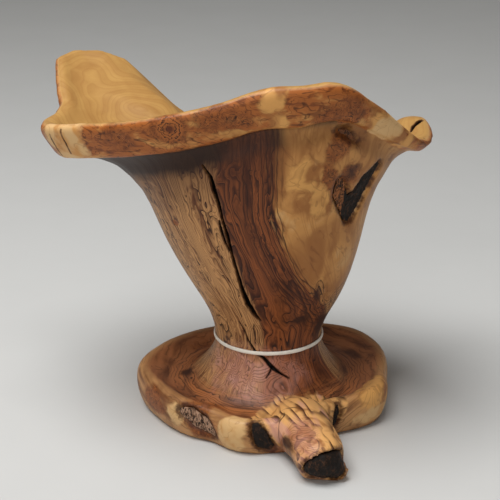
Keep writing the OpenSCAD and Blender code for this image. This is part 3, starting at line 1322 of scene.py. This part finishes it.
    @staticmethod
    def unbend(angle: np.ndarray, height: np.ndarray) -> np.ndarray:
        """The angle at which a point's grain would lie if it ran straight up.

        Args:
            angle: degrees round the stem.
            height: millimetres above the floor.

        Returns:
            The unbent angle in degrees.
        """
        knots, bends = np.array(GRAIN_BEND, float).T
        full_bend, no_bend = BEND_HEIGHTS
        share = ((no_bend - np.clip(height, full_bend, no_bend)) / 60) ** 1.6
        unbent = angle.copy()
        rounds, step = 45, 0.4
        for _ in range(rounds):
            bend = np.interp(unbent % 360, knots, bends) * share
            unbent += step * (angle - bend - unbent)
        return unbent % 360

    @staticmethod
    def golden_field(angle: np.ndarray, height: np.ndarray) -> np.ndarray:
        """Measures how far each point is from the edge of the golden sapwood.

        Args:
            angle: degrees round the stem.
            height: millimetres above the floor.

        Returns:
            Millimetres into the sapwood, negative outside it.
        """
        start = GOLDEN_EDGE[0][0]
        around = (np.where(angle < 180, angle + 360, angle) - start) * GOLDEN_STEP
        up = height
        line = [((turned - start) * GOLDEN_STEP, level) for turned, level in GOLDEN_EDGE]
        inside = np.zeros(len(up), bool)
        nearest = np.full(len(up), FAR_OFF)
        for (x0, y0), (x1, y1) in zip(line, line[1:] + line[:1]):
            length = (x1 - x0) ** 2 + (y1 - y0) ** 2
            share = np.clip(((around - x0) * (x1 - x0) + (up - y0) * (y1 - y0)) / length, 0, 1)
            far = np.hypot(around - x0 - share * (x1 - x0), up - y0 - share * (y1 - y0))
            nearest = np.minimum(nearest, far)
            if y0 != y1:
                crosses = (up < y0) != (up < y1)
                at = x0 + (up - y0) * (x1 - x0) / (y1 - y0)
                inside ^= crosses & (around < at)
        return np.where(inside, nearest, -nearest)

    @staticmethod
    def around_table(angle: np.ndarray, value: np.ndarray, chosen: np.ndarray) -> np.ndarray:
        """The highest value in each slice round the stem, smoothed from slice to slice.

        Args:
            angle: degrees round the stem.
            value: what is picked from.
            chosen: the points that count.

        Returns:
            The value at each point's angle.
        """
        slices = 90
        places = (np.arange(slices) + 0.5) * 360 / slices
        found = np.full(slices, np.nan)
        slot = (angle * slices / 360).astype(int) % slices
        for index in range(slices):
            here = value[chosen & (slot == index)]
            if len(here):
                found[index] = here.max()
        known = ~np.isnan(found)
        found = np.interp(places, places[known], found[known], period=360)
        blurred = (np.roll(found, 1) + 2 * found + np.roll(found, -1)) / 4
        return np.interp(angle, places, blurred, period=360)

    def lip_field(self, angle: np.ndarray, radius: np.ndarray, height: np.ndarray) -> np.ndarray:
        """Millimetres in from the foot's outline."""
        outline = self.around_table(angle, radius, height < self.foot_top)
        return np.where(height < self.lip_below, outline - radius, self.lip_below)

    def rim_field(self, angle: np.ndarray, radius: np.ndarray, height: np.ndarray) -> np.ndarray:
        """Measures how far up the rim's outer face each point is.

        Args:
            angle: degrees round the stem.
            radius: millimetres from the stem's middle.
            height: millimetres above the floor.

        Returns:
            Millimetres above the face's lower edge, negative below it or away from the rim.
        """
        outline = self.around_table(angle, radius, height > self.rim_from)
        lower = self.lower_edge(angle, radius, height, outline)
        return np.where(radius > outline - self.rim_thick, height - lower, -9.0)

    def under_field(self, points: np.ndarray, normals: np.ndarray) -> np.ndarray:
        """Measures how far each point on the outside is from the rim's lower edge.

        Args:
            points: the surface's points.
            normals: the surface's normals.

        Returns:
            Millimetres above that edge, and FAR_BELOW for a point that isn't on the outside.
        """
        angle, radius, height = self.round_places(points)
        high = height > self.rim_from
        outline = self.around_table(angle, radius, high)
        out = normals[:, 0] * points[:, 0] + normals[:, 1] * points[:, 1]
        outside = high & ((out > 0.1 * radius) | (normals[:, 2] < -0.3))
        return np.where(outside, height - self.lower_edge(angle, radius, height, outline), FAR_BELOW)

    def lower_edge(self, angle: np.ndarray, radius: np.ndarray, height: np.ndarray,
            outline: np.ndarray) -> np.ndarray:
        """Finds the lower edge of the rim's outer face.

        Args:
            angle: degrees round the stem.
            radius: millimetres from the stem's middle.
            height: millimetres above the floor.
            outline: the rim's radius at each point's angle.

        Returns:
            The edge's height at each point's angle.
        """
        crest = (height > self.rim_from) & (radius > outline - self.rim_crest)
        top = self.around_table(angle, height, crest)
        places, heights = np.array(EDGE_HEIGHT, float).T
        return top - np.interp(angle, places, heights, period=360)

    def bark_field(self, points: np.ndarray, frame: dict) -> np.ndarray:
        """Measures how far the nearest bark is.

        Args:
            points: the surface's points.

        Returns:
            Millimetres at each point.
        """
        places = [vertex.co / MM for name in self.bark_nodes for vertex in frame["nodes"][name].data.vertices]
        tree = tree_of(places)
        return np.array([tree.find(Vector(point))[2] for point in points])

    @staticmethod
    def zone_field(points: np.ndarray, skin: Skin, zone: Zone, rim: np.ndarray) -> np.ndarray:
        """How far inside a zone's patches each point lies.

        Args:
            points: the surface's points.
            skin: the surface that marks are placed on.
            zone: the zone.
            rim: millimetres up the rim's outer face.

        Returns:
            1 in the middle of a patch, 0 at its edge and negative outside.
        """
        field = np.full(len(points), -1.0)
        for blotch in BLOTCHES:
            if blotch.zone is not zone:
                continue
            middle = np.array(skin.spot(blotch.angle, blotch.place, blotch.reach))
            away = points - middle
            if blotch.reach is not Reach.TOP:
                tall, wide = away[:, 2], np.hypot(away[:, 0], away[:, 1])
            else:
                turn = math.radians(blotch.angle)
                out = np.array((math.cos(turn), math.sin(turn)))
                tall = away[:, :2] @ out
                wide = np.hypot(away[:, :2] @ np.array((-out[1], out[0])), away[:, 2])
            share = 1.0 - np.sqrt((tall / blotch.tall) ** 2 + (wide / blotch.wide) ** 2)
            if blotch.reach is Reach.RIM:
                share = np.minimum(share, 0.4 * rim)
            if blotch.reach is Reach.WALL:
                share = np.minimum(share, -0.4 * rim)
            field = np.maximum(field, share)
        return field


@dataclass
class BarkPiece:
    """A piece of old bark that sits in a hollow of the wood.

    Its worn side begins at the angle worn_from and is full at worn_to, in degrees round the stem.
    """

    node: str
    voxel: float = 0.9
    relief: float = 0.9
    ridge_size: float = 4.5
    crumb_size: float = 1.8
    smooth_angle: float = 35.0
    seed: float = 1.0
    worn_from: float = 360.0
    worn_to: float = 361.0
    finish: RootBark = RootBark()

    def build(self, frame: dict) -> bpy.types.Object:
        """Roughens the bark and dresses it.


        Returns:
            The finished piece.
        """
        piece = copy_of_node(frame["nodes"][self.node], "old_" + self.node)
        apply_modifier(piece, "REMESH", mode="VOXEL", voxel_size=self.voxel * MM, adaptivity=0.0)
        points, normals = points_of(piece), normals_of(piece)
        ridges = 1.0 - np.abs(lumps(points, self.ridge_size, self.seed)) * 2.0
        crumbs = lumps(points, self.crumb_size, self.seed + 5.0)
        sink = self.relief * (0.55 * np.clip(ridges, 0, 1) + 0.35 * (0.5 + crumbs))
        angle = np.degrees(np.arctan2(points[:, 1], points[:, 0])) % 360
        store(piece, "worn", smooth_step(self.worn_from, self.worn_to, angle))
        move_points(piece, points - normals * sink[:, None])
        work_on(piece)
        bpy.ops.object.shade_smooth_by_angle(angle=math.radians(self.smooth_angle))
        piece.data.materials.append(self.finish.material("root_" + self.node))
        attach(piece, "root")
        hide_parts(self.node)
        return piece


@dataclass
class WaistBand:
    """The thin rubber band that lies round the waist."""

    levels: int = 2
    waver: float = 0.10
    waver_length: float = 6.0

    def build(self, frame: dict) -> bpy.types.Object:
        """Rounds the band, gives it a slight waver and dresses it.


        Returns:
            The finished piece.
        """
        piece = copy_of_node(frame["nodes"]["waist_band"], "ivory_waist_band")
        apply_modifier(piece, "SUBSURF", levels=self.levels, render_levels=self.levels)
        points, normals = points_of(piece), normals_of(piece)
        points += normals * (self.waver * lumps(points, self.waver_length, seed=2.2))[:, None]
        move_points(piece, points)
        work_on(piece)
        bpy.ops.object.shade_smooth()
        piece.data.materials.append(PaleRubber().material())
        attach(piece, "root")
        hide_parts("waist_band")
        return piece


@dataclass
class Studio:
    """Plain floor, soft lights and the camera, in metres, watts and degrees."""

    floor_side: float = 12.0
    camera_place: tuple[float, float, float] = (-0.01073, -0.82503, 0.40822)
    camera_pitch: float = 69.3
    lens: float = 111.744
    sensor: float = 36.0
    overhead_place: tuple[float, float, float] = (-0.30, -0.20, 1.25)
    overhead_side: float = 0.8
    overhead_power: float = 17.5
    front_place: tuple[float, float, float] = (-0.25, -1.45, 0.60)
    front_side: float = 0.9
    front_power: float = 5.5
    aim_height: float = 0.1
    sky: float = 0.16
    sky_colour: tuple[float, float, float, float] = (1.0, 0.98, 0.95, 1.0)

    def build(self) -> None:
        """Makes the floor, the lights and the camera."""
        deselect_all()
        bpy.ops.mesh.primitive_plane_add(size=self.floor_side, location=(0, 0, 0))
        floor = bpy.context.object
        floor.name = "studio_floor"
        floor.data.materials.append(PaleFloor().material())
        self.soft_light("overhead_light", self.overhead_place, self.overhead_side, self.overhead_power)
        self.soft_light("front_light", self.front_place, self.front_side, self.front_power)
        world = bpy.data.worlds.new("studio_air")
        world.use_nodes = True
        air = world.node_tree.nodes["Background"]
        air.inputs["Color"].default_value = self.sky_colour
        air.inputs["Strength"].default_value = self.sky
        bpy.context.scene.world = world
        bpy.context.scene.view_settings.view_transform = "Standard"
        self.aim_camera()

    def soft_light(self, name: str, place: tuple[float, float, float], side: float, power: float) -> None:
        """Adds a square soft light that faces the bowl.

        Args:
            name: the light's name.
            place: where it hangs.
            side: length of its sides.
            power: its power in watts.
        """
        bpy.ops.object.light_add(type="AREA", location=place)
        light = bpy.context.object
        light.name = name
        light.data.size = side
        light.data.energy = power
        aim = Vector((0, 0, self.aim_height)) - Vector(place)
        light.rotation_euler = aim.to_track_quat("-Z", "Y").to_euler()

    def aim_camera(self) -> None:
        """Adds the camera and makes it the scene's own."""
        bpy.ops.object.camera_add(location=self.camera_place,
            rotation=(math.radians(self.camera_pitch), 0, 0))
        camera = bpy.context.object
        camera.data.sensor_width = self.sensor
        camera.data.lens = self.lens
        bpy.context.scene.camera = camera


def report(piece: bpy.types.Object) -> None:
    """Logs a finished piece and how fine it is."""
    triangles = sum(len(face.vertices) - 2 for face in piece.data.polygons)
    log.info("%s: %d triangles", piece.name, triangles)


def main() -> None:
    """Builds the bowl, the bark, the band and the studio."""
    logging.basicConfig(level=logging.INFO, format="%(message)s")
    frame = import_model()
    grey_brown = RootBark(worn=(0.42, 0.25, 0.16))
    red_brown = RootBark(worn=(0.17, 0.058, 0.020))
    barks = (
        BarkPiece("wall_bark", seed=1.0, worn_from=322.0, worn_to=316.0),
        BarkPiece("rim_bark", seed=4.0, worn_from=-2.0, worn_to=-1.0, finish=red_brown),
        BarkPiece("foot_seam_bark", seed=7.0),
        BarkPiece("foot_scar_bark", seed=10.0, worn_from=218.5, worn_to=222.0, finish=grey_brown),
        BarkPiece("notch_bark", seed=13.0),
        BarkPiece("stub_end_bark", seed=16.0),
    )
    report(CarvedRoot(bark_nodes=tuple(bark.node for bark in barks)).build(frame))
    for bark in barks:
        report(bark.build(frame))
    report(WaistBand().build(frame))
    Studio().build()


if __name__ == "__main__":
    main()
